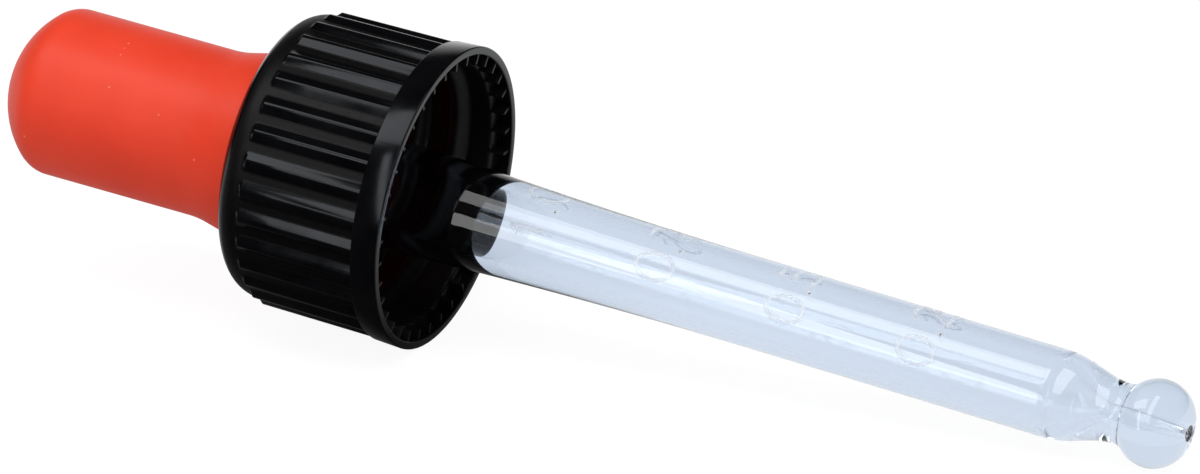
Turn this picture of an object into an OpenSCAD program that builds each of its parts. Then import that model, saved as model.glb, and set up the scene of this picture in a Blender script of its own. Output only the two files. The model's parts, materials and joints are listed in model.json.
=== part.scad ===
// Laboratory dropper: a rubber bulb and a necked glass pipette held in a ribbed screw cap.
// Every piece is turned about its own axis. A station is a place along the dropper, measured
// from the plane of the cap's mouth: minus toward the bulb, plus toward the tip.
// The dropper lies on a flat surface, on the rim of its cap and on the ball of its tip.

/* [Screw cap] */
// Height of the cap, from its flat top to its mouth
cap_h = 14; // [13:0.5:18]
// Radius of the skirt in the valleys between the grip ribs
skirt_r = 10.9; // [10.8:0.05:11.1]
// Radius of the rounded edge between the top and the skirt
bevel_r = 2; // [1.6:0.1:2.4]
// Height of that rounded edge
bevel_h = 1.83; // [0.5:0.05:1.85]
// Thickness of the top panel
panel_t = 1.6; // [1.2:0.1:2]
// Radius of the hole in the top panel, which the bulb's neck goes through
panel_hole_r = 7.6; // [7.55:0.05:8]
// Height of the smooth band at the mouth
band_h = 2.2; // [1.6:0.1:2.6]
// Radius of the band beside the ribs
band_back_r = 11.5; // [11.4:0.05:11.6]
// Radius of the band at the mouth
rim_r = 11.62; // [11.5:0.02:11.8]
// Radius of the rim's rounded edges
rim_edge_r = 0.12; // [0.05:0.01:0.2]

/* [Grip ribs] */
// Number of ribs around the skirt
rib_count = 31; // [24:1:34]
// Width of a rib's crest
rib_crest_w = 0.24; // [0.15:0.01:0.4]
// Slope of a rib's flanks
rib_flank_deg = 36; // [34:1:45]
// Radius of the crests beside the top's edge
rib_back_r = 11.25; // [11.15:0.05:11.35]
// Radius of the crests beside the band
rib_front_r = 11.38; // [11.3:0.02:11.46]
// Distance from the mouth to the ribs' far ends
rib_reach = 12; // [10:0.5:12]
// Slope of a rib's far end, from the axis
rib_end_deg = 50; // [30:5:60]
// Turn of the first rib about the axis
rib_phase = 8; // [0:1:12]

/* [Mouth and neck thread] */
// Radius of the recess in the mouth
recess_r = 11; // [10.7:0.05:11.2]
// Depth of that recess
recess_h = 1.2; // [0.8:0.1:1.6]
// Number of thin fins in the recess
fin_count = 36; // [18:1:40]
// Thickness of a fin
fin_w = 0.22; // [0.15:0.01:0.3]
// How far the fins stop short of the mouth
fin_drop = 0.2; // [0.1:0.05:0.4]
// Radius at the root of the neck thread
thread_root_r = 10.1; // [9.9:0.05:10.2]
// Radius at the crest of the neck thread
thread_crest_r = 9.2; // [9.1:0.05:9.4]
// Pitch of the neck thread
thread_pitch = 3.175; // [2.8:0.005:3.4]
// Turns of the neck thread
thread_turns = 1.5; // [1:0.25:1.75]
// Distance from the mouth to the middle of the thread's first turn
thread_start = 3.3; // [2.6:0.1:3.6]
// Width of the thread's crest
thread_crest_w = 0.7; // [0.5:0.05:0.9]
// Width of the thread at its root
thread_root_w = 1.7; // [1.4:0.05:2]

/* [Rubber bulb] */
// Radius of the bulb's body
bulb_r = 6.37; // [5.8:0.01:6.5]
// Distance from the mouth's plane to the bulb's top
bulb_reach = 35.7; // [33:0.1:45]
// Radius of the dome on top
crown_r = 7.6; // [7.2:0.1:9]
// Radius of the shoulder between the body and the dome
shoulder_r = 2.4; // [2:0.1:2.8]
// Distance from the mouth's plane to where the body starts to flare
flare_reach = 19.5; // [19:0.1:22]
// Radius of the flare's curve
flare_curve_r = 7.5; // [6:0.5:8]
// Slope of the flare where it enters the cap
flare_deg = 13.5; // [11:0.5:13.5]
// Thickness of the bulb's wall
bulb_wall = 1.5; // [1:0.1:1.8]
// Radius of the flange under the top panel
flange_r = 9.6; // [9:0.1:9.8]
// Thickness of that flange
flange_t = 2.4; // [2:0.1:2.8]
// Radius of the throat above the tube
throat_r = 3.9; // [3:0.1:4]
// Length of the throat
throat_l = 0.95; // [0.6:0.05:1.4]
// Length of the slope from the throat to the bulb's hollow
throat_slope = 1.3; // [1:0.1:2]

/* [Glass tube] */
// Radius of the tube's straight part
tube_r = 3.35; // [3.2:0.05:3.5]
// Radius of the collar in the rubber
collar_r = 4; // [3.8:0.05:4.1]
// Station where the tube starts to widen toward the collar
widen_s = 25; // [20:1:30]
// Station where the widening reaches the collar
collar_s = -1; // [-3:0.5:1]
// Radius of the lip at the tube's open end
lip_r = 4.5; // [4.3:0.05:4.6]
// Length of the lip
lip_l = 1.2; // [1:0.1:1.4]
// Distance from the mouth's plane to the tube's open end
tube_reach = 14.2; // [14:0.1:14.6]
// Radius of the bore
bore_r = 2.7; // [2.4:0.05:2.9]

/* [Tip] */
// Station where the shoulder of the tip starts
shoulder_s = 50.4; // [46:0.1:60]
// Length of that shoulder
shoulder_l = 5.3; // [4.5:0.1:6]
// Radius of the neck behind the ball
neck_r = 2.3; // [2:0.05:2.6]
// Radius of the curve between the neck and the ball
neck_curve_r = 1.2; // [0.8:0.1:1.5]
// Radius of the ball
ball_r = 3.35; // [3.1:0.05:3.4]
// Radius of the ball's rounding: a little less, so that the ball is flattened toward its end
ball_round = 2.7; // [2.5:0.05:2.9]
// Radius of the fine bore through the tip
fine_bore_r = 0.45; // [0.3:0.05:0.6]
// Radius of the dished orifice
orifice_r = 0.6; // [0.5:0.05:0.65]
// Depth of the orifice's dish
orifice_h = 0.4; // [0.2:0.05:0.6]
// Length of the melted-in funnel that leads from the bore to the fine bore
funnel_l = 4.5; // [4:0.1:5]

/* [Fits and seat] */
// Clearance between the tube and the rubber
tube_fit = 0.05; // [0.02:0.01:0.1]
// How far the tube sits below the cap's axis at the mouth
tube_shift = 0.89; // [0:0.01:1]
// How far the tube leans from the cap's axis
tube_lean = 1.05; // [0:0.05:1.5]

/* [Hidden] */
$fn = 96;

ARC_STEPS = 10;
EDGE_STEPS = 4;
CURVE_STEPS = 16;
THREAD_STEP_DEG = 15;
// How deep joined shapes of one piece reach into each other, and the ribs into the skirt
EMBED = 0.3;
RIB_EMBED = 0.2;
// How far the thread's run-out sinks into the cap's wall
THREAD_SINK = 0.03;
// How far a bounding or cutting shape reaches past the piece
OVERRUN = 1;
// How quickly the funnel closes in: 1 is a straight cone
FUNNEL_CURVE = 1.4;
// Angle over which the thread's ends run out
THREAD_FADE_DEG = 45;
// Where the cap's turning starts, off its lowest line
CAP_SEAM_DEG = 0.6;

BULB_COLOR = [0.89, 0.24, 0.14];
CAP_COLOR = [0.03, 0.03, 0.035];
GLASS_COLOR = [0.78, 0.86, 0.9, 0.4];

panel_s = -(cap_h - panel_t);
flare_end_r = bulb_r + flare_curve_r * (1 - cos(flare_deg));
flare_end_s = -flare_reach + flare_curve_r * sin(flare_deg);
bulb_neck_r = flare_end_r + (-cap_h - flare_end_s) * tan(flare_deg);
neck_s = shoulder_s + shoulder_l;
neck_curve_cr = neck_r + neck_curve_r;
flat_r = ball_r - ball_round;
neck_rise = neck_curve_cr - flat_r;
ball_s = neck_s + sqrt(pow(ball_round + neck_curve_r, 2) - pow(neck_rise, 2));
neck_curve_deg = atan2(ball_s - neck_s, neck_rise);
tip_s = ball_s + ball_round;

// The dropper rests on two rounds: the rim's edge and the ball's rounding. Their common tangent is the surface.
low_x = tube_shift + ball_s * sin(tube_lean) + flat_r * cos(tube_lean);
low_z = ball_s * cos(tube_lean) - flat_r * sin(tube_lean);
rim_x = rim_r - rim_edge_r;
rim_z = -rim_edge_r;
rest_gap = norm([rim_x - low_x, low_z - rim_z]);
rest_slope = acos((ball_round - rim_edge_r) / rest_gap) - atan2(low_z - rim_z, rim_x - low_x);
rest_h = rim_x * cos(rest_slope) + rim_z * sin(rest_slope) + rim_edge_r;

// The two ends of the lying dropper, for an origin midway between them.
crown_s = -bulb_reach + crown_r;
back_x = crown_s * cos(rest_slope) - crown_r;
high_x = tube_shift + ball_s * sin(tube_lean) - flat_r * cos(tube_lean);
high_z = ball_s * cos(tube_lean) + flat_r * sin(tube_lean);
front_x = high_z * cos(rest_slope) - high_x * sin(rest_slope) + ball_round;

// Points of an arc about (cr, cs), in radius and station.
function arc(cr, cs, r, from, to, steps = ARC_STEPS) =
    [for (i = [0:steps])
        let (a = from + (to - from) * i / steps)
        [cr + r * cos(a), cs + r * sin(a)]];

// The domed end of a hollow or solid bulb: its dome runs tangent into a shoulder of radius sr.
function dome_outline(r, cr, sr) =
    let (a = acos((r - sr) / (cr - sr)))
    concat(
        arc(0, crown_s, cr, -90, -a),
        arc(r - sr, crown_s - (cr - sr) * sin(a), sr, -a, 0)
    );

module turned(outline) {
    rotate_extrude() polygon(outline);
}

// Local axes along the dropper (+Z to the tip, +X down) laid on the surface.
module lying() {
    translate([-(back_x + front_x) / 2, 0, rest_h])
        rotate([0, 90 + rest_slope, 0])
            children();
}

module seated_tube() {
    translate([tube_shift, 0, 0])
        rotate([0, tube_lean, 0])
            children();
}

// ---- Rubber bulb ----

module bulb_outside() {
    turned(concat(
        dome_outline(bulb_r, crown_r, shoulder_r),
        arc(bulb_r + flare_curve_r, -flare_reach, flare_curve_r, 180, 180 - flare_deg),
        [
            [bulb_neck_r, -cap_h],
            [bulb_neck_r, panel_s],
            [flange_r, panel_s],
            [flange_r, panel_s + flange_t],
            [0, panel_s + flange_t]
        ]
    ));
}

module bulb_hollow() {
    hollow_r = bulb_r - bulb_wall;
    throat_s = -tube_reach - tube_fit;
    turned(concat(
        dome_outline(hollow_r, crown_r - bulb_wall, shoulder_r - bulb_wall),
        [
            [hollow_r, throat_s - throat_l - throat_slope],
            [throat_r, throat_s - throat_l],
            [throat_r, throat_s + EMBED],
            [0, throat_s + EMBED]
        ]
    ));
}

// The socket for the tube: a bore for its collar, with a groove for its lip.
module tube_socket() {
    lip_face_s = -tube_reach + lip_l;
    seated_tube() {
        translate([0, 0, -tube_reach - tube_fit])
            cylinder(h = lip_l + tube_fit, r = lip_r + tube_fit);
        translate([0, 0, lip_face_s - EMBED])
            cylinder(h = panel_s + flange_t - lip_face_s + 2 * EMBED, r = collar_r + tube_fit);
    }
}

module rubber_bulb() {
    color(BULB_COLOR) lying()
        difference() {
            bulb_outside();
            bulb_hollow();
            tube_socket();
        }
}

// ---- Screw cap ----

module cap_shell() {
    rotate([0, 0, CAP_SEAM_DEG]) turned(concat(
        [[panel_hole_r, -cap_h]],
        arc(skirt_r - bevel_r, -cap_h + bevel_h, bevel_r, -asin(bevel_h / bevel_r), 0),
        [
            [skirt_r, -band_h],
            [band_back_r, -band_h]
        ],
        arc(rim_r - rim_edge_r, -rim_edge_r, rim_edge_r, 0, 90, EDGE_STEPS),
        [
            [recess_r, 0],
            [recess_r, -recess_h],
            [thread_root_r, -recess_h],
            [thread_root_r, panel_s],
            [panel_hole_r, panel_s]
        ]
    ));
}

// The ribs share a turned envelope, which gives their crests a draft and their far ends a slope.
module grip_ribs() {
    rib_foot_r = skirt_r - RIB_EMBED;
    half_crest = rib_crest_w / 2;
    half_foot = half_crest + (rib_front_r - rib_foot_r) / tan(rib_flank_deg);
    far_s = -rib_reach - RIB_EMBED / tan(rib_end_deg);
    intersection() {
        for (i = [0:rib_count - 1])
            rotate([0, 0, rib_phase + i * 360 / rib_count])
                translate([0, 0, far_s])
                    linear_extrude(-band_h + EMBED - far_s)
                        polygon([
                            [rib_foot_r, -half_foot],
                            [rib_front_r, -half_crest],
                            [rib_front_r + EMBED, -half_crest],
                            [rib_front_r + EMBED, half_crest],
                            [rib_front_r, half_crest],
                            [rib_foot_r, half_foot]
                        ]);
        turned([
            [0, far_s - OVERRUN],
            [rib_foot_r - OVERRUN * tan(rib_end_deg), far_s - OVERRUN],
            [rib_back_r, -rib_reach + (rib_back_r - skirt_r) / tan(rib_end_deg)],
            [rib_front_r, -band_h],
            [rib_front_r, 0],
            [0, 0]
        ]);
    }
}

module mouth_fins() {
    fin_h = recess_h - fin_drop + EMBED;
    for (i = [0:fin_count - 1])
        rotate([0, 0, i * 360 / fin_count])
            translate([thread_root_r + fin_w / 2, -fin_w / 2, -recess_h - EMBED])
                cube([recess_r - thread_root_r, fin_w, fin_h]);
}

// One section of the thread's ridge at a turn of a degrees; the ridge runs out at both ends.
function thread_section(a) =
    let (
        turn = thread_turns * 360,
        rise = min(1, min(a, turn - a) / THREAD_FADE_DEG),
        foot_r = thread_root_r + EMBED,
        crest_r = thread_root_r + THREAD_SINK - (thread_root_r - thread_crest_r) * rise,
        foot = thread_root_w / 2,
        crest = thread_crest_w / 2,
        mid = -thread_start - thread_pitch * thread_turns + thread_pitch * a / 360
    )
    [for (p = [[foot_r, -foot], [crest_r, -crest], [crest_r, crest], [foot_r, foot]])
        [p[0] * cos(a), p[0] * sin(a), mid + p[1]]];

module neck_thread() {
    steps = thread_turns * 360 / THREAD_STEP_DEG;
    sections = [for (i = [0:steps]) thread_section(i * THREAD_STEP_DEG)];
    points = [for (s = sections) for (p = s) p];
    sides = [for (i = [0:steps - 1]) for (k = [0:3])
        let (a = 4 * i + k, b = 4 * i + (k + 1) % 4)
        each [[a, b + 4, b], [a, a + 4, b + 4]]];
    first_end = [[0, 1, 2], [0, 2, 3]];
    last_end = [for (f = first_end) [for (k = [2:-1:0]) 4 * steps + f[k]]];
    polyhedron(points = points, faces = concat(first_end, sides, last_end));
}

module screw_cap() {
    color(CAP_COLOR) lying() {
        cap_shell();
        grip_ribs();
        mouth_fins();
        neck_thread();
    }
}

// ---- Glass tube ----

// The tube widens along one large arc, and narrows to its neck along half a cosine wave.
function widen_r(s) =
    tube_r + (collar_r - tube_r) * pow((widen_s - s) / (widen_s - collar_s), 2);
function shoulder_outline() =
    [for (i = [0:CURVE_STEPS])
        let (t = i / CURVE_STEPS)
        [neck_r + (tube_r - neck_r) * (1 + cos(180 * t)) / 2, shoulder_s + shoulder_l * t]];

function tube_outline() =
    concat(
        [
            [0, -tube_reach],
            [lip_r, -tube_reach],
            [lip_r, -tube_reach + lip_l],
            [collar_r, -tube_reach + lip_l]
        ],
        [for (i = [0:CURVE_STEPS])
            let (s = collar_s + (widen_s - collar_s) * i / CURVE_STEPS)
            [widen_r(s), s]],
        shoulder_outline(),
        arc(neck_curve_cr, neck_s, neck_curve_r, 180, 180 - neck_curve_deg),
        arc(flat_r, ball_s, ball_round, -neck_curve_deg, 90),
        [[0, tip_s]]
    );

function funnel_outline() =
    [for (i = [0:CURVE_STEPS])
        let (t = i / CURVE_STEPS)
        [fine_bore_r + (bore_r - fine_bore_r) * pow(1 - t, FUNNEL_CURVE), shoulder_s + funnel_l * t]];

module tube_bore() {
    turned(concat(
        [
            [0, -tube_reach - OVERRUN],
            [bore_r, -tube_reach - OVERRUN]
        ],
        funnel_outline(),
        [
            [fine_bore_r, tip_s - orifice_h],
            [orifice_r, tip_s],
            [orifice_r, tip_s + OVERRUN],
            [0, tip_s + OVERRUN]
        ]
    ));
}

module pipette_tube() {
    color(GLASS_COLOR) lying() seated_tube()
        difference() {
            turned(tube_outline());
            tube_bore();
        }
}

rubber_bulb();
screw_cap();
pipette_tube();
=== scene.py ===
"""A laboratory dropper: a red rubber bulb and a graduated glass tube, held in a black ribbed screw cap.

Outlines are drawn in radius and station, in millimetres. A station is a place along an axis, measured from
the plane of the cap's mouth: minus toward the bulb, plus toward the tip. Angles run about the axis, in
degrees: 0 is underneath, 90 at the back, 180 on top and 270 at the front, on the camera's side.
"""

import json
import math

import bpy
from mathutils import Matrix, Vector


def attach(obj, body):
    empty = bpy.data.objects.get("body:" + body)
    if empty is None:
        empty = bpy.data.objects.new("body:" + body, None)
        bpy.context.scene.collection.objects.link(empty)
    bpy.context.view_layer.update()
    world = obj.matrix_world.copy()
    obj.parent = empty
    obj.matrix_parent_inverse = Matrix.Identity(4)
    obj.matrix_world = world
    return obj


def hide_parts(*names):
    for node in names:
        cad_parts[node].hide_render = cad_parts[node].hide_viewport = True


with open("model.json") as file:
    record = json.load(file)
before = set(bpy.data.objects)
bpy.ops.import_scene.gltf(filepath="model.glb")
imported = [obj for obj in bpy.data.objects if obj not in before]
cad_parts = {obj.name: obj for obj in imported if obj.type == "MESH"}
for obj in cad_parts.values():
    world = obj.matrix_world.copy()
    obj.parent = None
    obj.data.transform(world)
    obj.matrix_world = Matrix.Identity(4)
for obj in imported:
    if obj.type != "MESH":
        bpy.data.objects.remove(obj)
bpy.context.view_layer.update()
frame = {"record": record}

MM = 0.001
# Lengths below this count as none.
TINY = 1e-6

# ---- Sizes, in millimetres, as in the CAD model ----

CAP_H = 14.0
SKIRT_R = 10.9
BEVEL_R = 2.0
BEVEL_H = 1.83
PANEL_T = 1.6
PANEL_HOLE_R = 7.6
PANEL_EDGE = 0.15
PANEL_INNER_ROUND = 0.3
BAND_H = 2.2
BAND_BACK_R = 11.5
BAND_BACK_ROUND = 0.08
RIM_R = 11.62
RIM_EDGE_R = 0.12

RIB_COUNT = 31
RIB_CREST_W = 0.24
RIB_FLANK_W = 0.66
RIB_BACK_R = 11.25
RIB_FRONT_R = 11.38
RIB_REACH = 12.0
RIB_END_L = 0.3
RIB_END_ROUND = 0.2
RIB_PHASE = 8.0
RIB_ROUND_DEG = 0.38

RECESS_R = 11.0
RECESS_H = 1.2
RECESS_EDGE_R = 0.1
RECESS_FOOT = 0.12
FIN_COUNT = 36
FIN_W = 0.22
FIN_DROP = 0.2
THREAD_ROOT_R = 10.1
THREAD_CREST_R = 9.2
THREAD_PITCH = 3.175
THREAD_TURNS = 1.5
THREAD_START = 3.3
THREAD_CREST_W = 0.7
THREAD_ROOT_W = 1.7
THREAD_ROUND = 0.12
THREAD_FADE_DEG = 45.0
THREAD_ZONE = (-1.6, -9.2)

BULB_R = 6.37
BULB_REACH = 35.7
CROWN_R = 7.6
SHOULDER_R = 2.4
FLARE_REACH = 19.5
FLARE_CURVE_R = 7.5
FLARE_DEG = 13.5
BULB_WALL = 1.5
FLANGE_R = 9.6
FLANGE_T = 2.4
FLANGE_ROUND = 0.3
FLANGE_FACE_R = 5.0
NECK_CORNER_ROUND = 0.1
SOCKET_LEAD = 0.2
THROAT_R = 3.9
THROAT_L = 0.95
THROAT_SLOPE = 1.3
TUBE_FIT = 0.05

TUBE_R = 3.35
COLLAR_R = 4.0
WIDEN_S = 25.0
COLLAR_S = -1.0
LIP_R = 4.5
LIP_L = 1.2
LIP_ROUND = 0.4
LIP_FOOT_ROUND = 0.3
COLLAR_CORNER_ROUND = 0.1
TUBE_REACH = 14.2
TUBE_END_FLAT = 0.3
BORE_R = 2.7
BORE_MOUTH_R = 0.25
TIP_SHOULDER_S = 50.4
TIP_SHOULDER_L = 5.3
NECK_R = 2.3
NECK_CURVE_R = 1.2
BALL_R = 3.35
BALL_ROUND = 2.7
FINE_BORE_R = 0.45
ORIFICE_R = 0.6
ORIFICE_H = 0.4
ORIFICE_EDGE_ROUND = 0.04
ORIFICE_FOOT_ROUND = 0.3
FUNNEL_L = 4.5
FUNNEL_CURVE = 1.4
# How far the bore is ground and tinted near black, from the orifice inward. The near-black tint is painted
# shade.
GROUND_AND_SHADE_L = 2.4

# Number marks: each label, its station, and how many degrees the middle of its first sign stands above the
# facing direction. The rest of the label follows over the top of the tube.
MARKS = (("1.0", 8.2, 8.0), ("0.75", 18.5, 8.0), ("0.5", 29.2, 4.0), ("0.25", 40.0, 1.5))
DIGIT_H = 2.9
DIGIT_W = 2.05
# From one sign's middle to the next, beside a decimal point and between digits.
POINT_GAP = 1.7
DIGIT_GAP = 2.55
BEAD_W = 0.34
BEAD_H = 0.03
BEAD_STEP = 0.12
# The bead's cross section: places across it, in its width, with the height there, in its height.
BEAD_PROFILE = ((-0.5, 0.05), (-0.45, 0.5), (-0.25, 0.9), (0, 1), (0.25, 0.9), (0.45, 0.5), (0.5, 0.05))

# ---- Fineness of the meshes ----

RING_STEPS = 192
# Stations of rows that only cut long faces up.
BULB_ROWS = (-27, -23)
RIB_ROWS = (-9, -6, -3.5, -BAND_H - 0.1, -BAND_H - 0.03)
COLLAR_ROWS = (-8, -6, -4, -2.5)
SHANK_ROWS = (28, 32, 36, 40, 44, 47, 49)
BORE_ROWS = (TIP_SHOULDER_S - 0.5, 47, *range(42, -13, -6))
# Rows of a rib's sloping end, in parts of its length.
RIB_END_ROWS = (-0.2, 0, 0.2, 0.5, 0.8, 1, 1.2)
THREAD_STEP = 0.2
DOME_STEPS = 20
HOLLOW_STEPS = 8
FLARE_STEPS = 8
BEVEL_STEPS = 12
SHOULDER_STEPS = 32
FUNNEL_STEPS = 24
NECK_STEPS = 12
BALL_STEPS = 40
LIP_STEPS = 5
CORNER_STEPS = 3
RIM_STEPS = 4
BORE_MOUTH_STEPS = 4
ELLIPSE_STEPS = 20
# Edges sharper than this stay sharp in the shading.
BULB_SHARP_DEG = 40
CAP_SHARP_DEG = 50
TUBE_SHARP_DEG = 60
MARK_SHARP_DEG = 70

# ---- Colours and gloss ----

RUBBER_COLORS = ((0.7, 0.039, 0.0112), (0.755, 0.048, 0.0165))
RUBBER_ROUGHNESS = (0.4, 0.5)
DUST_COLOR = (0.8, 0.22, 0.16)
CAP_COLORS = ((0.0015, 0.0015, 0.002), (0.003, 0.003, 0.0035))
CAP_ROUGHNESS = (0.11, 0.19)
# The inside's colours are darker than the outside's: painted shade in the recess.
CAP_INSIDE_SHADE_COLORS = ((0.0008, 0.0008, 0.001), (0.0016, 0.0016, 0.002))
CAP_INSIDE_ROUGHNESS = (0.4, 0.52)
FROST_COLORS = ((0.86, 0.89, 0.93), (0.93, 0.95, 0.98))
GLASS_TINT = (0.62, 0.71, 0.84)
BORE_TINT = (1.0, 1.0, 1.0)
# The orifice's near-black tint is painted shade in the fine bore near the tip.
ORIFICE_SHADE_TINT = (0.06, 0.05, 0.05)
GLASS_HAZE = 0.008
GROUND_HAZE = 0.4
GLASS_IOR = 1.5
PLASTIC_IOR = 1.5
# The part of a noise's range that most of it lies in, and the part of it that makes the glass hazy.
NOISE_RANGE = (0.3, 0.7)
HAZE_RANGE = (0.35, 0.75)
# Which cells of the dust pattern hold a speck, by their random red.
DUST_CHOICE = (0.8, 0.9)

# ---- Light ----

# Soft light that matt surfaces take from the room, on the bulb's side and on the tip's side.
AMBIENT_LEVELS = (0.32, 0.8)
# How bright gloss sees the room in front of the object.
ROOM_LEVEL = 0.012
# The floor's light: as it is seen, and as matt surfaces take it.
FLOOR_GLOW = 0.93
FLOOR_BOUNCE = 0.62
# The floor's own grey, which takes the shadow. Gloss doesn't show it.
FLOOR_SHADE = 0.11
FLOOR_HALF = 1.5
# What the glass shows of the room on the camera's side, where it bends the view far round.
GLASS_ROOM = 0.45
# Where these levels begin and end to blend: parts of a direction for the world, metres for the floor.
WORLD_SWEEP = (0.86, 1.0)
WORLD_TIPWARD = (-0.8, 0.8)
WORLD_THROUGH = (-0.3, 0.3)
FLOOR_SWEEP = (0.0, 0.06)
FLOOR_BESIDE_TUBE = (-0.012, 0.004)

# Lamps: name, station, degrees above the facing direction, distance from the axis, size along the dropper and
# across it, the tilt of the first side from the dropper in degrees, radiance, and which rays don't see it.
LAMPS = (
    ("key", -265, 42, 350, (410, 170), 0, 3.05, ()),
    ("key_far", 85, 42, 350, (290, 170), 0, 3.05, ("glossy", "transmission")),
    ("window", 60, 36, 348, (84, 500), 0, 3.2, ("diffuse",)),
    ("fill", 0, 8, 350, (700, 230), 0, 0.04, ()),
    ("strip", -118, -5, 350, (340, 60), 73, 3.5, ()),
)

# ---- Camera ----

VIEW_AZIMUTH = 25.67
VIEW_ELEVATION = 20.69
FRAME_W = 88.97
AIM_RIGHT = 11.42
AIM_DOWN = 2.86
LENS = 650.0
SENSOR = 36.0
CLIP_NEAR = 0.1
CLIP_FAR = 4


# ---- Axes ----

mounts = {m["name"]: m for m in frame["record"]["mounts"]}


def axes(origin, along):
    """Local axes with Z along the given direction, Y level and X pointing down."""
    z = Vector(along).normalized()
    y = Vector((0, 1, 0))
    m = Matrix((y.cross(z), y, z)).transposed().to_4x4()
    m.translation = origin
    return m


mouth = Vector(mounts["neck_thread"]["pos_m"])
dropper = axes(mouth, mounts["neck_thread"]["axis"])
shank_mid_s = WIDEN_S + mounts["tube_shank"]["dims"]["length_mm"] / 2
shank_axis = Vector(mounts["tube_shank"]["axis"]).normalized()
tube_axes = axes(Vector(mounts["tube_shank"]["pos_m"]) - shank_axis * shank_mid_s * MM, shank_axis)


# ---- Camera and directions ----


def add_camera():
    """Adds the camera and returns the direction from the object back to it."""
    a, e = math.radians(VIEW_AZIMUTH), math.radians(VIEW_ELEVATION)
    back = Vector((math.sin(a) * math.cos(e), -math.cos(a) * math.cos(e), math.sin(e)))
    right = Vector((math.cos(a), math.sin(a), 0))
    up = back.cross(right)
    data = bpy.data.cameras.new("camera")
    data.lens = LENS
    data.sensor_width = SENSOR
    far = FRAME_W / 2 / (SENSOR / 2 / LENS) * MM
    data.clip_start = far * CLIP_NEAR
    data.clip_end = far * CLIP_FAR
    cam = bpy.data.objects.new("camera", data)
    cam.location = mouth + (right * AIM_RIGHT - up * AIM_DOWN) * MM + back * far
    cam.rotation_mode = "QUATERNION"
    cam.rotation_quaternion = (-back).to_track_quat("-Z", "Y")
    bpy.context.scene.collection.objects.link(cam)
    bpy.context.scene.camera = cam
    return back


back = add_camera()

# The dropper's own directions: along it, out of it toward the camera's side, and over it.
axis = dropper.to_3x3().col[2].normalized()
front = (back - axis * back.dot(axis)).normalized()
over = front.cross(axis)
if over.z < 0:
    over = -over
# The angle about the axis that faces the camera's side.
down_axis, level_axis = dropper.to_3x3().col[0], dropper.to_3x3().col[1]
facing_deg = math.degrees(math.atan2(front.dot(level_axis), front.dot(down_axis))) % 360


# ---- Outline helpers ----


def arc(cr, cs, r, start, stop, steps):
    """Points of an arc about (cr, cs) in radius and station, from start to stop degrees."""
    out = []
    for i in range(steps + 1):
        a = math.radians(start + (stop - start) * i / steps)
        out.append((cr + r * math.cos(a), cs + r * math.sin(a)))
    return out


def rounded(corners, steps=CORNER_STEPS):
    """An outline through corners given as (radius, station, rounding)."""
    out = []
    for i, (r, s, q) in enumerate(corners):
        p = Vector((r, s))
        if not q or i in (0, len(corners) - 1):
            out.append((r, s))
            continue
        a = (Vector(corners[i - 1][:2]) - p).normalized()
        b = (Vector(corners[i + 1][:2]) - p).normalized()
        half = a.angle(b) / 2
        t = q / math.tan(half)
        c = p + (a + b).normalized() * (q / math.sin(half))
        u, v = p + a * t - c, p + b * t - c
        turn = u.angle_signed(v)
        for k in range(steps + 1):
            w = u.copy()
            w.rotate(Matrix.Rotation(-turn * k / steps, 2))
            out.append(tuple(c + w))
    return out


def ramp(x, a, b, q):
    """0 below a and 1 above b, with both corners rounded over q each way."""
    if x <= a - q:
        return 0.0
    if x < a + q:
        return (x - a + q) ** 2 / (4 * q * (b - a))
    if x <= b - q:
        return (x - a) / (b - a)
    if x < b + q:
        return 1 - (b + q - x) ** 2 / (4 * q * (b - a))
    return 1.0


def even_angles(n):
    return [360 * i / n for i in range(n)]


def ring_point(r, s, t):
    """The place at a radius, a station and an angle in radians, in local axes and metres."""
    return Vector((r * math.cos(t) * MM, r * math.sin(t) * MM, s * MM))


def smooth_object(name, verts, faces):
    """Adds a mesh object with smooth shading."""
    mesh = bpy.data.meshes.new(name)
    mesh.from_pydata(verts, [], faces)
    mesh.validate()
    obj = bpy.data.objects.new(name, mesh)
    bpy.context.scene.collection.objects.link(obj)
    for p in mesh.polygons:
        p.use_smooth = True
    return obj


def turned(name, rows, angles, place, closed=False):
    """A mesh of revolution. A row is (radius, station) or a function of the angle that gives them.

    A row at radius 0 is a single point on the axis. A closed outline joins its last row to its first.
    """
    verts, rings = [], []
    for row in rows:
        at = row if callable(row) else (lambda a, row=row: row)
        if not callable(row) and row[0] < TINY:
            rings.append([len(verts)])
            verts.append(place @ Vector((0, 0, row[1] * MM)))
            continue
        rings.append(range(len(verts), len(verts) + len(angles)))
        verts += [place @ ring_point(*at(a), math.radians(a)) for a in angles]
    faces = []
    pairs = list(zip(rings, rings[1:])) + ([(rings[-1], rings[0])] if closed else [])
    n = len(angles)
    for lower, upper in pairs:
        for i in range(n):
            j = (i + 1) % n
            if len(lower) == 1:
                faces.append((lower[0], upper[j], upper[i]))
            elif len(upper) == 1:
                faces.append((lower[i], lower[j], upper[0]))
            else:
                faces.append((lower[i], lower[j], upper[j], upper[i]))
    return smooth_object(name, verts, faces)


def point_outward(obj):
    """Turns the faces outward if the mesh's signed volume is negative."""
    mesh = obj.data
    total = 0.0
    mesh.calc_loop_triangles()
    for t in mesh.loop_triangles:
        a, b, c = (mesh.vertices[i].co for i in t.vertices)
        total += a.dot(b.cross(c))
    if total < 0:
        mesh.flip_normals()


def finish_piece(obj, node, materials, sharp_deg):
    """Sets a piece up. Its faces take the first material until they are given another."""
    point_outward(obj)
    obj.data.set_sharp_from_angle(angle=math.radians(sharp_deg))
    for material in materials:
        obj.data.materials.append(material)
    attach(obj, "root")
    if node:
        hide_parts(node)


# ---- Materials ----


def new_material(name):
    mat = bpy.data.materials.new(name)
    mat.use_nodes = True
    nodes, links = mat.node_tree.nodes, mat.node_tree.links
    shader = nodes["Principled BSDF"]
    return mat, nodes, links, shader


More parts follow.
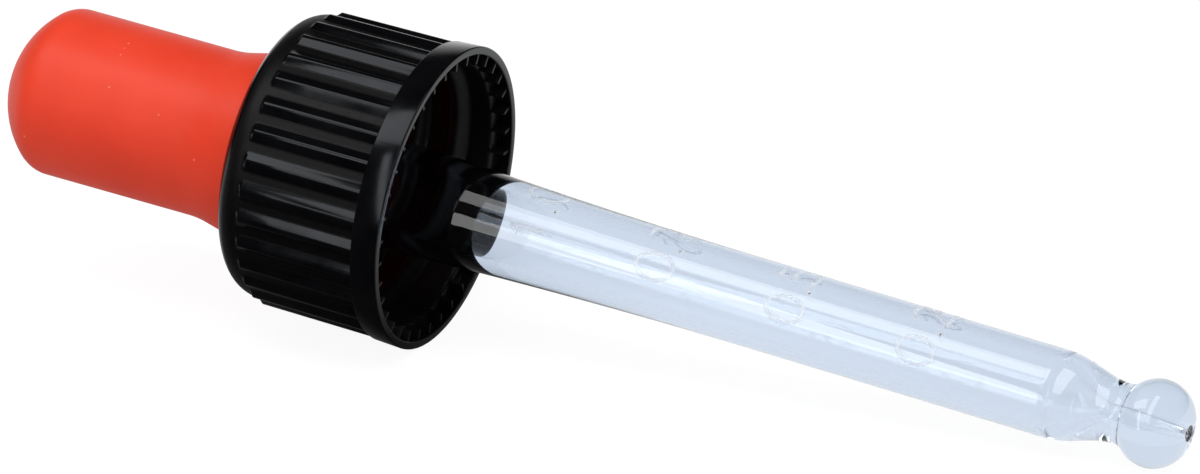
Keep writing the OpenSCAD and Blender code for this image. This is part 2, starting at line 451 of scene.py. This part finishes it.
def add_node(nodes, kind, **values):
    """Adds a node. A value is a property of the node or else a socket's, with _ for each space."""
    n = nodes.new(kind)
    for key, v in values.items():
        if hasattr(n, key):
            setattr(n, key, v)
        else:
            n.inputs[key.replace("_", " ")].default_value = v
    return n


def noise_node(nodes, links, coords, scale, detail=3.0, roughness=0.5):
    n = add_node(nodes, "ShaderNodeTexNoise", Scale=scale, Detail=detail, Roughness=roughness)
    links.new(coords.outputs["Object"], n.inputs["Vector"])
    return n


def mapped(nodes, links, source, lo, hi, to_lo, to_hi):
    n = add_node(nodes, "ShaderNodeMapRange", From_Min=lo, From_Max=hi, To_Min=to_lo, To_Max=to_hi)
    links.new(source, n.inputs["Value"])
    return n.outputs["Result"]


def joined(nodes, links, operation, a, b):
    """A math node on two sources."""
    n = add_node(nodes, "ShaderNodeMath", operation=operation)
    links.new(a, n.inputs[0])
    links.new(b, n.inputs[1])
    return n.outputs[0]


def over_noise(nodes, links, source, to_lo, to_hi):
    """A noise's usual range, spread over another one."""
    return mapped(nodes, links, source.outputs["Fac"], *NOISE_RANGE, to_lo, to_hi)


def mix_node(nodes, links, data_type, factor, a, b):
    """Blends two values, or sources of values, by a factor. Only the sockets of its own type are enabled."""
    n = add_node(nodes, "ShaderNodeMix", data_type=data_type)
    links.new(factor, n.inputs["Factor"])
    ins = [s for s in n.inputs if s.enabled and s.name in "AB"]
    for socket, v in zip(ins, (a, b)):
        if isinstance(v, bpy.types.NodeSocket):
            links.new(v, socket)
        else:
            socket.default_value = v
    return next(s for s in n.outputs if s.enabled)


def mixed_color(nodes, links, factor, a, b):
    a, b = ((*v, 1) if isinstance(v, tuple) else v for v in (a, b))
    return mix_node(nodes, links, "RGBA", factor, a, b)


def bumped(nodes, links, shader, source, strength, distance):
    """Roughens the shader's surface with a noise."""
    n = add_node(nodes, "ShaderNodeBump", Strength=strength, Distance=distance)
    links.new(source.outputs["Fac"], n.inputs["Height"])
    links.new(n.outputs["Normal"], shader.inputs["Normal"])


def two_tones(nodes, links, source, colors):
    """A colour that wanders between two with the noise."""
    return mixed_color(nodes, links, over_noise(nodes, links, source, 0, 1), *colors)


def rubber_material():
    mat, nodes, links, shader = new_material("bulb_rubber")
    coords = add_node(nodes, "ShaderNodeTexCoord")
    broad = noise_node(nodes, links, coords, 180)
    grain = noise_node(nodes, links, coords, 5200, detail=4, roughness=0.6)
    color = two_tones(nodes, links, broad, RUBBER_COLORS)
    dust = speck_mask(nodes, links, coords, scale=900, radius=0.05)
    links.new(mixed_color(nodes, links, dust, color, DUST_COLOR), shader.inputs["Base Color"])
    links.new(over_noise(nodes, links, grain, *RUBBER_ROUGHNESS), shader.inputs["Roughness"])
    shader.inputs["Specular IOR Level"].default_value = 0.3
    shader.inputs["Subsurface Weight"].default_value = 0.12
    shader.inputs["Subsurface Radius"].default_value = (1.0, 0.25, 0.1)
    shader.inputs["Subsurface Scale"].default_value = 0.0008
    bumped(nodes, links, shader, grain, strength=0.12, distance=0.00003)
    return mat


def speck_mask(nodes, links, coords, scale, radius):
    """1 on a few scattered specks: the middles of some cells of a fine cell pattern."""
    cells = add_node(nodes, "ShaderNodeTexVoronoi", Scale=scale)
    links.new(coords.outputs["Object"], cells.inputs["Vector"])
    near = mapped(nodes, links, cells.outputs["Distance"], radius, radius * 2, 1, 0)
    part = add_node(nodes, "ShaderNodeSeparateColor")
    links.new(cells.outputs["Color"], part.inputs["Color"])
    chosen = mapped(nodes, links, part.outputs["Red"], *DUST_CHOICE, 0, 1)
    return joined(nodes, links, "MULTIPLY", near, chosen)


def cap_material():
    mat, nodes, links, shader = new_material("cap_plastic")
    coords = add_node(nodes, "ShaderNodeTexCoord")
    smear = noise_node(nodes, links, coords, 420)
    grain = noise_node(nodes, links, coords, 3800, detail=4, roughness=0.6)
    links.new(two_tones(nodes, links, smear, CAP_COLORS), shader.inputs["Base Color"])
    links.new(over_noise(nodes, links, smear, *CAP_ROUGHNESS), shader.inputs["Roughness"])
    shader.inputs["IOR"].default_value = PLASTIC_IOR
    shader.inputs["Specular IOR Level"].default_value = 0.26
    shader.inputs["Specular Tint"].default_value = (0.88, 0.94, 1.0, 1)
    bumped(nodes, links, shader, grain, strength=0.06, distance=0.00002)
    return mat


def cap_inside_material():
    """The moulded inside: matt from the core of the mould, and darker than the outside, which is painted
    shade in the recess.
    """
    mat, nodes, links, shader = new_material("cap_inside")
    coords = add_node(nodes, "ShaderNodeTexCoord")
    grain = noise_node(nodes, links, coords, 3000, detail=4, roughness=0.6)
    links.new(two_tones(nodes, links, grain, CAP_INSIDE_SHADE_COLORS), shader.inputs["Base Color"])
    links.new(over_noise(nodes, links, grain, *CAP_INSIDE_ROUGHNESS), shader.inputs["Roughness"])
    shader.inputs["Specular IOR Level"].default_value = 0.22
    bumped(nodes, links, shader, grain, strength=0.1, distance=0.00002)
    return mat


def glass_material(name, tint, roughest):
    """Clear glass, smooth in most places and as rough as the roughest in others."""
    mat, nodes, links, shader = new_material(name)
    coords = add_node(nodes, "ShaderNodeTexCoord")
    haze = noise_node(nodes, links, coords, 110, detail=1)
    rough = mapped(nodes, links, haze.outputs["Fac"], *HAZE_RANGE, 0.0, roughest)
    links.new(rough, shader.inputs["Roughness"])
    shader.inputs["Base Color"].default_value = (*tint, 1)
    shader.inputs["IOR"].default_value = GLASS_IOR
    shader.inputs["Specular IOR Level"].default_value = 0.7
    shader.inputs["Transmission Weight"].default_value = 1.0
    bumped(nodes, links, shader, haze, strength=0.02, distance=0.00003)
    return mat


def frost_material():
    mat, nodes, links, shader = new_material("frosted_marks")
    coords = add_node(nodes, "ShaderNodeTexCoord")
    grain = noise_node(nodes, links, coords, 9000, detail=3, roughness=0.6)
    links.new(two_tones(nodes, links, grain, FROST_COLORS), shader.inputs["Base Color"])
    shader.inputs["Roughness"].default_value = 0.6
    shader.inputs["Subsurface Weight"].default_value = 0.9
    shader.inputs["Subsurface Radius"].default_value = (1.0, 1.0, 1.0)
    shader.inputs["Subsurface Scale"].default_value = 0.0001
    shader.inputs["Alpha"].default_value = 0.2
    bumped(nodes, links, shader, grain, strength=0.2, distance=0.00002)
    return mat


# ---- Rubber bulb ----


def dome(r, cr, sr, steps):
    """The domed end of the bulb, from the axis to its cylinder."""
    crown_s = -BULB_REACH + CROWN_R
    a = math.degrees(math.acos((r - sr) / (cr - sr)))
    shoulder_s = crown_s - (cr - sr) * math.sin(math.radians(a))
    top = arc(0, crown_s, cr, -90, -a, steps)
    top[0] = (0, crown_s - cr)
    return top + arc(r - sr, shoulder_s, sr, -a, 0, steps)[1:]


def make_bulb(material):
    panel_s = -(CAP_H - PANEL_T)
    flange_s = panel_s + FLANGE_T
    flare = arc(BULB_R + FLARE_CURVE_R, -FLARE_REACH, FLARE_CURVE_R, 180, 180 - FLARE_DEG, FLARE_STEPS)
    neck_r = flare[-1][0] + (-CAP_H - flare[-1][1]) * math.tan(math.radians(FLARE_DEG))
    outside = dome(BULB_R, CROWN_R, SHOULDER_R, DOME_STEPS) + [(BULB_R, s) for s in BULB_ROWS] + flare
    outside += rounded(
        [
            (*flare[-1], 0),
            (neck_r, -CAP_H, FLANGE_ROUND),
            (neck_r, panel_s, NECK_CORNER_ROUND),
            (FLANGE_R, panel_s, FLANGE_ROUND),
            (FLANGE_R, flange_s, FLANGE_ROUND),
            (FLANGE_FACE_R, flange_s, 0),
        ]
    )[1:]
    throat_s = -TUBE_REACH - TUBE_FIT
    lip_s = -TUBE_REACH + LIP_L
    grip_r, groove_r = COLLAR_R + TUBE_FIT, LIP_R + TUBE_FIT
    socket = [
        (grip_r + SOCKET_LEAD, flange_s),
        (grip_r, flange_s - SOCKET_LEAD),
        (grip_r, lip_s),
        (groove_r, lip_s),
        (groove_r, throat_s),
    ]
    hollow_r = BULB_R - BULB_WALL
    inside = [
        (THROAT_R, throat_s),
        (THROAT_R, throat_s - THROAT_L),
        (hollow_r, throat_s - THROAT_L - THROAT_SLOPE),
    ]
    inside += list(reversed(dome(hollow_r, CROWN_R - BULB_WALL, SHOULDER_R - BULB_WALL, HOLLOW_STEPS)))
    # The tube's own axis is a little off the bulb's, so the socket's rows are moved onto it.
    to_tube = dropper.inverted() @ tube_axes
    rows = outside + [off_axis(p, to_tube) for p in socket] + inside
    bulb = turned("rubber_bulb_skin", rows, even_angles(RING_STEPS), dropper)
    finish_piece(bulb, "rubber_bulb", [material], BULB_SHARP_DEG)


def off_axis(point, shift):
    """A row that lies round another axis: the ring's points, seen from this one."""
    r, s = point

    def at(a):
        p = shift @ ring_point(r, s, math.radians(a))
        # The angle changes too, but only by the small offset, so the ring stays round to a hair.
        return math.hypot(p.x, p.y) / MM, p.z / MM

    return at


# ---- Screw cap ----


RIB_PITCH_DEG = 360 / RIB_COUNT
# From a rib's middle to the edge of its crest, and on to the foot of its flank.
CREST_DEG = math.degrees(RIB_CREST_W / 2 / SKIRT_R)
FOOT_DEG = CREST_DEG + math.degrees(RIB_FLANK_W / SKIRT_R)
# From a fin's middle to the edge of its top. Its foot lies FIN_FOOT times as far out. FIN_MARGIN leaves room
# for rounding when an angle on that edge is told from one on the foot.
FIN_DEG = math.degrees(FIN_W / 2 / THREAD_ROOT_R)
FIN_FOOT = 1.35
FIN_MARGIN = 1.1
# The cap's angles are at least this far apart.
LEAST_STEP_DEG = 0.03


def from_middle(a, pitch):
    """The angle from the nearest middle, where middles repeat at a pitch."""
    return abs((a + pitch / 2) % pitch - pitch / 2)


def rib_height(a):
    """0 in the valleys and 1 on the crests, at an angle about the axis."""
    return 1 - ramp(from_middle(a - RIB_PHASE, RIB_PITCH_DEG), CREST_DEG, FOOT_DEG, RIB_ROUND_DEG)


def cap_angles():
    """Angles that catch every corner of the ribs and the fins."""
    q = RIB_ROUND_DEG
    flank = [CREST_DEG, CREST_DEG + q, (CREST_DEG + FOOT_DEG) / 2, FOOT_DEG - q, FOOT_DEG, FOOT_DEG + q]
    offs = [0] + flank + [(FOOT_DEG + q + RIB_PITCH_DEG / 2) / 2]
    out = []
    for i in range(RIB_COUNT):
        mid = RIB_PHASE + i * RIB_PITCH_DEG
        out += [mid + o for o in offs] + [mid - o for o in offs[1:]] + [mid + RIB_PITCH_DEG / 2]
    for i in range(FIN_COUNT):
        mid = i * 360 / FIN_COUNT
        out += [mid + k * FIN_DEG for k in (-FIN_FOOT, -1, 1, FIN_FOOT)]
    out = sorted({round(a % 360, 3) for a in out})
    return [a for i, a in enumerate(out) if a - out[i - 1] > LEAST_STEP_DEG or i == 0]


def in_fin(a):
    """Whether an angle lies on the top of a fin."""
    return from_middle(a, 360 / FIN_COUNT) < FIN_DEG * FIN_MARGIN


def thread_rise(a, s):
    """Height of the thread's ridge over its root, 0 to 1, at an angle and a station."""
    turn = THREAD_TURNS * 360
    best = 0.0
    for k in range(math.ceil(THREAD_TURNS) + 1):
        along = a + 360 * k
        if along > turn:
            break
        mid = -THREAD_START - THREAD_PITCH * THREAD_TURNS + THREAD_PITCH * along / 360
        fade = min(1, min(along, turn - along) / THREAD_FADE_DEG)
        shape = 1 - ramp(abs(s - mid), THREAD_CREST_W / 2, THREAD_ROOT_W / 2, THREAD_ROUND)
        best = max(best, shape * fade)
    return best


def make_cap(material, inside_material):
    panel_s = -(CAP_H - PANEL_T)

    def skirt(s, end):
        crest_r = RIB_BACK_R + (RIB_FRONT_R - RIB_BACK_R) * (s + RIB_REACH) / (RIB_REACH - BAND_H)
        return lambda a: (SKIRT_R + (crest_r - SKIRT_R) * rib_height(a) * end, s)

    def fin_row(r, wall_s):
        return lambda a: (r, -FIN_DROP if in_fin(a) else wall_s)

    def threaded(s):
        return lambda a: (THREAD_ROOT_R - (THREAD_ROOT_R - THREAD_CREST_R) * thread_rise(a, s), s)

    def rib_end(t):
        return skirt(-RIB_REACH + RIB_END_L * t, ramp(t, 0, 1, RIB_END_ROUND))

    bevel_start = -math.degrees(math.asin(BEVEL_H / BEVEL_R))
    rows = [(PANEL_HOLE_R, -CAP_H + PANEL_EDGE), (PANEL_HOLE_R + PANEL_EDGE, -CAP_H)]
    rows += arc(SKIRT_R - BEVEL_R, -CAP_H + BEVEL_H, BEVEL_R, bevel_start, 0, BEVEL_STEPS)
    rows += [rib_end(t) for t in RIB_END_ROWS]
    rows += [skirt(s, 1) for s in RIB_ROWS]
    rows += rounded([(SKIRT_R, -BAND_H, 0), (BAND_BACK_R, -BAND_H, BAND_BACK_ROUND), (RIM_R, 0, 0)])[1:-1]
    rows += arc(RIM_R - RIM_EDGE_R, -RIM_EDGE_R, RIM_EDGE_R, 0, 90, RIM_STEPS)
    rows += [(RECESS_R + 2 * RECESS_EDGE_R, 0)]
    rows += arc(RECESS_R + RECESS_EDGE_R, -RECESS_EDGE_R, RECESS_EDGE_R, 90, 180, CORNER_STEPS)
    rows += [fin_row(RECESS_R, -RECESS_H), fin_row(THREAD_ROOT_R + FIN_W / 2, -RECESS_H)]
    rows += [(THREAD_ROOT_R, -RECESS_H - RECESS_FOOT)]
    first, last = THREAD_ZONE
    rows += [threaded(first - i * THREAD_STEP) for i in range(int((first - last) / THREAD_STEP) + 1)]
    corner = (THREAD_ROOT_R, panel_s, PANEL_INNER_ROUND)
    rows += rounded([(THREAD_ROOT_R, last, 0), corner, (PANEL_HOLE_R, panel_s, 0)])[1:]
    cap = turned("screw_cap_shell", rows, cap_angles(), dropper, closed=True)
    finish_piece(cap, "screw_cap", [material, inside_material], CAP_SHARP_DEG)
    # The inside, whose darker colour is painted shade, is what lies within the recess, but for the outer face
    # of the panel.
    to_cap = dropper.inverted()
    for p in cap.data.polygons:
        at = to_cap @ p.center
        within = math.hypot(at.x, at.y) < (RECESS_R - RECESS_EDGE_R / 2) * MM
        p.material_index = int(within and at.z >= -(CAP_H - PANEL_T / 2) * MM)


# ---- Glass tube ----


def widen_r(s):
    """The tube's radius at a station: straight toward the tip, and widening to the collar."""
    t = max(0.0, min(1.0, (WIDEN_S - s) / (WIDEN_S - COLLAR_S)))
    return TUBE_R + (COLLAR_R - TUBE_R) * t * t


def funnel(t):
    """The bore's melted-in end, from the bore at 0 to the fine bore at 1."""
    return FINE_BORE_R + (BORE_R - FINE_BORE_R) * (1 - t) ** FUNNEL_CURVE, TIP_SHOULDER_S + FUNNEL_L * t


def tip_shoulder(t):
    """The tip's shoulder, from the tube's radius at 0 to the neck's at 1, as half a cosine wave."""
    return NECK_R + (TUBE_R - NECK_R) * (1 + math.cos(math.pi * t)) / 2, TIP_SHOULDER_S + TIP_SHOULDER_L * t


def make_tube(material, bore_material, orifice_shade_material):
    neck_s = TIP_SHOULDER_S + TIP_SHOULDER_L
    curve_cr = NECK_R + NECK_CURVE_R
    flat_r = BALL_R - BALL_ROUND
    ball_s = neck_s + math.sqrt((BALL_ROUND + NECK_CURVE_R) ** 2 - (curve_cr - flat_r) ** 2)
    curve_deg = math.degrees(math.atan2(ball_s - neck_s, curve_cr - flat_r))
    tip_s = ball_s + BALL_ROUND
    funnel_end = TIP_SHOULDER_S + FUNNEL_L
    outside = rounded(
        [
            (BORE_R + TUBE_END_FLAT, -TUBE_REACH, 0),
            (LIP_R, -TUBE_REACH, LIP_ROUND),
            (LIP_R, -TUBE_REACH + LIP_L, LIP_FOOT_ROUND),
            (COLLAR_R, -TUBE_REACH + LIP_L, COLLAR_CORNER_ROUND),
            (COLLAR_R, COLLAR_ROWS[0], 0),
        ],
        LIP_STEPS,
    )
    outside += [(COLLAR_R, s) for s in COLLAR_ROWS[1:]]
    widening = [COLLAR_S + i for i in range(int(WIDEN_S - COLLAR_S) + 1)]
    outside += [(widen_r(s), s) for s in widening]
    outside += [(TUBE_R, s) for s in SHANK_ROWS]
    outside += [tip_shoulder(i / SHOULDER_STEPS) for i in range(SHOULDER_STEPS + 1)]
    outside += arc(curve_cr, neck_s, NECK_CURVE_R, 180, 180 - curve_deg, NECK_STEPS)[1:]
    outside += arc(flat_r, ball_s, BALL_ROUND, -curve_deg, 90, BALL_STEPS)[1:]
    bore = rounded(
        [
            (flat_r, tip_s, 0),
            (ORIFICE_R, tip_s, ORIFICE_EDGE_ROUND),
            (FINE_BORE_R, tip_s - ORIFICE_H, ORIFICE_FOOT_ROUND),
            (FINE_BORE_R, funnel_end, 0),
        ],
        LIP_STEPS,
    )
    bore += [funnel(1 - i / FUNNEL_STEPS) for i in range(1, FUNNEL_STEPS + 1)]
    bore += [(BORE_R, s) for s in BORE_ROWS]
    mouth_r, mouth_s = BORE_R + BORE_MOUTH_R, -TUBE_REACH + BORE_MOUTH_R
    bore += arc(mouth_r, mouth_s, BORE_MOUTH_R, 180, 270, BORE_MOUTH_STEPS)
    rows = outside + bore[1:]
    tube = turned("pipette_tube_glass", rows, even_angles(RING_STEPS), tube_axes, closed=True)
    materials = [material, bore_material, orifice_shade_material]
    finish_piece(tube, "pipette_tube", materials, TUBE_SHARP_DEG)
    # The faces come in the outline's order: first the outside, then the bore from its ground end inward.
    first_bore = (len(outside) - 1) * RING_STEPS
    ground_and_shade_from = (tip_s - GROUND_AND_SHADE_L) * MM
    to_tube = tube_axes.inverted()
    # Bore faces near the tip take the ground orifice's material, whose near-black tint is painted shade.
    for p in tube.data.polygons:
        if p.index >= first_bore:
            p.material_index = 2 if (to_tube @ p.center).z > ground_and_shade_from else 1


# ---- Number marks ----


def ellipse(cx, cy, rx, ry, start, stop, steps=ELLIPSE_STEPS):
    """Points of an ellipse in a digit's own unit box, from start to stop degrees."""
    angles = [math.radians(start + (stop - start) * i / steps) for i in range(steps + 1)]
    return [(cx + rx * math.cos(t), cy + ry * math.sin(t)) for t in angles]


# Each sign's strokes, in a box one wide and one high from its lower left corner.
SIGNS = {
    "0": [ellipse(0.5, 0.5, 0.5, 0.5, 90, 450, 36)],
    "1": [[(0.2, 0.76), (0.5, 1), (0.5, 0)]],
    "2": [ellipse(0.5, 0.73, 0.46, 0.27, 170, -35) + [(0.04, 0), (0.98, 0)]],
    "5": [[(0.9, 1), (0.16, 1), (0.08, 0.54)] + ellipse(0.46, 0.32, 0.5, 0.32, 130, -150)],
    "7": [[(0.02, 1), (0.98, 1), (0.36, 0)]],
    ".": [ellipse(0.5, 0.03, 0.03, 0.02, 0, 360, 10)],
}


def bead(points, centre_s, centre_deg):
    """A raised bead along a stroke, as vertices and faces.

    Points are in millimetres: along the reading direction and up the digit.
    """
    line = []
    for a, b in zip(points, points[1:]):
        n = max(1, round(math.dist(a, b) / BEAD_STEP))
        line += [(a[0] + (b[0] - a[0]) * k / n, a[1] + (b[1] - a[1]) * k / n) for k in range(n)]
    line.append(points[-1])
    looped = math.dist(line[0], line[-1]) < TINY
    if looped:
        line = line[:-1]
    n = len(line)
    verts = []
    for i, p in enumerate(line):
        before = line[i - 1] if looped or i else p
        after = line[(i + 1) % n] if looped or i < n - 1 else p
        d = Vector(after) - Vector(before)
        d.normalize()
        for across, height in BEAD_PROFILE:
            u = p[0] - d.y * across * BEAD_W
            v = p[1] + d.x * across * BEAD_W
            s = centre_s - v
            r = widen_r(s) + BEAD_H * height
            t = math.radians(facing_deg - centre_deg) - u / TUBE_R
            verts.append(tube_axes @ ring_point(r, s, t))
    k = len(BEAD_PROFILE)
    faces = []
    for i in range(n if looped else n - 1):
        j = (i + 1) % n
        faces += [(i * k + a, i * k + (a + 1) % k, j * k + (a + 1) % k, j * k + a) for a in range(k)]
    if not looped:
        faces += [tuple(range(k)), tuple((n - 1) * k + a for a in reversed(range(k)))]
    return verts, faces


def make_marks(material):
    for row, (label, station, start_deg) in enumerate(MARKS):
        verts, faces = [], []
        x = 0.0
        for i, sign in enumerate(label):
            for stroke in SIGNS[sign]:
                line = [((px - 0.5) * DIGIT_W + x, (py - 0.5) * DIGIT_H) for px, py in stroke]
                v, f = bead(line, station, start_deg)
                faces += [tuple(k + len(verts) for k in face) for face in f]
                verts += v
            beside_point = "." in label[i : i + 2]
            x += POINT_GAP if beside_point else DIGIT_GAP
        mark = smooth_object(f"number_mark_{row + 1}", verts, faces)
        finish_piece(mark, None, [material], MARK_SHARP_DEG)


# ---- Lights and background ----


def add_lamp(name, station, angle, distance, size, tilt, radiance, hidden_from):
    """A softbox beside the dropper, facing its axis."""
    t = math.radians(angle)
    away = front * math.cos(t) + over * math.sin(t)
    side = over * math.cos(t) - front * math.sin(t)
    k = math.radians(tilt)
    first_side = axis * math.cos(k) - side * math.sin(k)
    data = bpy.data.lights.new(name, "AREA")
    data.shape = "RECTANGLE"
    data.size, data.size_y = size[0] * MM, size[1] * MM
    data.energy = radiance * math.pi * data.size * data.size_y
    lamp = bpy.data.objects.new(name, data)
    lamp.location = mouth + axis * station * MM + away * distance * MM
    lamp.rotation_mode = "QUATERNION"
    turned_to = Matrix((first_side, away.cross(first_side), away)).transposed()
    lamp.rotation_quaternion = turned_to.to_quaternion()
    lamp.visible_camera = False
    lamp.visible_diffuse = "diffuse" not in hidden_from
    lamp.visible_glossy = "glossy" not in hidden_from
    lamp.visible_transmission = "transmission" not in hidden_from
    bpy.context.scene.collection.objects.link(lamp)


def rays(nodes, links):
    """Two sources: 1 for the rays that look at the background itself, and 1 for the glossy ones."""
    path = add_node(nodes, "ShaderNodeLightPath")
    camera, through = path.outputs["Is Camera Ray"], path.outputs["Is Transmission Ray"]
    return joined(nodes, links, "MAXIMUM", camera, through), path.outputs["Is Glossy Ray"]


def ramped_along(nodes, links, vector, direction, start, full):
    """0 up to the start and 1 from full on, along the direction."""
    dot = add_node(nodes, "ShaderNodeVectorMath", operation="DOT_PRODUCT")
    links.new(vector, dot.inputs[0])
    dot.inputs[1].default_value = direction
    return mapped(nodes, links, dot.outputs["Value"], start, full, 0, 1)


def behind_object(nodes, links, vector, start, full):
    """0 in front of the object and 1 behind it, along the level direction away from the camera's side."""
    return ramped_along(nodes, links, vector, Vector((-back.x, -back.y, 0)).normalized(), start, full)


def blended(nodes, links, factor, a, b):
    return mix_node(nodes, links, "FLOAT", factor, a, b)


def add_world():
    """A white sweep behind and under the object, in a dim room. Gloss shows the room where it faces it."""
    world = bpy.data.worlds.new("studio")
    bpy.context.scene.world = world
    world.use_nodes = True
    nodes, links = world.node_tree.nodes, world.node_tree.links
    shade = nodes["Background"]
    direct, glossy = rays(nodes, links)
    toward = add_node(nodes, "ShaderNodeTexCoord").outputs["Generated"]
    sweep = behind_object(nodes, links, toward, *WORLD_SWEEP)
    room = blended(nodes, links, sweep, ROOM_LEVEL, 1.0)
    tipward = ramped_along(nodes, links, toward, (1, 0, 0), *WORLD_TIPWARD)
    ambient = blended(nodes, links, tipward, *AMBIENT_LEVELS)
    level = blended(nodes, links, glossy, ambient, room)
    through = ramped_along(nodes, links, toward, -back, *WORLD_THROUGH)
    seen = blended(nodes, links, through, GLASS_ROOM, 1.0)
    level = blended(nodes, links, direct, level, seen)
    links.new(level, shade.inputs["Strength"])
    shade.inputs["Color"].default_value = (1, 1, 1, 1)


def add_floor():
    """A white floor. It glows as it is to be seen, and its own grey takes the shadow."""
    h = FLOOR_HALF
    mesh = bpy.data.meshes.new("floor")
    mesh.from_pydata([(-h, -h, 0), (h, -h, 0), (h, h, 0), (-h, h, 0)], [], [(0, 1, 2, 3)])
    floor = bpy.data.objects.new("floor", mesh)
    bpy.context.scene.collection.objects.link(floor)
    mat = bpy.data.materials.new("floor_white")
    mat.use_nodes = True
    nodes, links = mat.node_tree.nodes, mat.node_tree.links
    nodes.clear()
    out = add_node(nodes, "ShaderNodeOutputMaterial")
    diffuse = add_node(nodes, "ShaderNodeBsdfDiffuse")
    glow = add_node(nodes, "ShaderNodeEmission")
    direct, glossy = rays(nodes, links)
    shade = blended(nodes, links, glossy, FLOOR_SHADE, 0.0)
    links.new(blended(nodes, links, direct, shade, FLOOR_SHADE), diffuse.inputs["Color"])
    place = add_node(nodes, "ShaderNodeNewGeometry").outputs["Position"]
    sweep = behind_object(nodes, links, place, *FLOOR_SWEEP)
    beside_tube = ramped_along(nodes, links, place, (1, 0, 0), *FLOOR_BESIDE_TUBE)
    lit = joined(nodes, links, "MAXIMUM", sweep, beside_tube)
    room = blended(nodes, links, lit, ROOM_LEVEL, FLOOR_GLOW)
    level = blended(nodes, links, glossy, FLOOR_BOUNCE, room)
    level = blended(nodes, links, direct, level, FLOOR_GLOW)
    links.new(level, glow.inputs["Strength"])
    both = add_node(nodes, "ShaderNodeAddShader")
    links.new(diffuse.outputs[0], both.inputs[0])
    links.new(glow.outputs[0], both.inputs[1])
    links.new(both.outputs[0], out.inputs["Surface"])
    floor.data.materials.append(mat)


make_bulb(rubber_material())
make_cap(cap_material(), cap_inside_material())
make_tube(
    glass_material("tube_glass", GLASS_TINT, GLASS_HAZE),
    glass_material("tube_bore", BORE_TINT, GLASS_HAZE),
    # The ground orifice's near-black tint is painted shade.
    glass_material("ground_orifice_painted_shade", ORIFICE_SHADE_TINT, GROUND_HAZE),
)
make_marks(frost_material())
for lamp in LAMPS:
    add_lamp(*lamp)
add_world()
add_floor()

bpy.context.scene.view_settings.view_transform = "Standard"
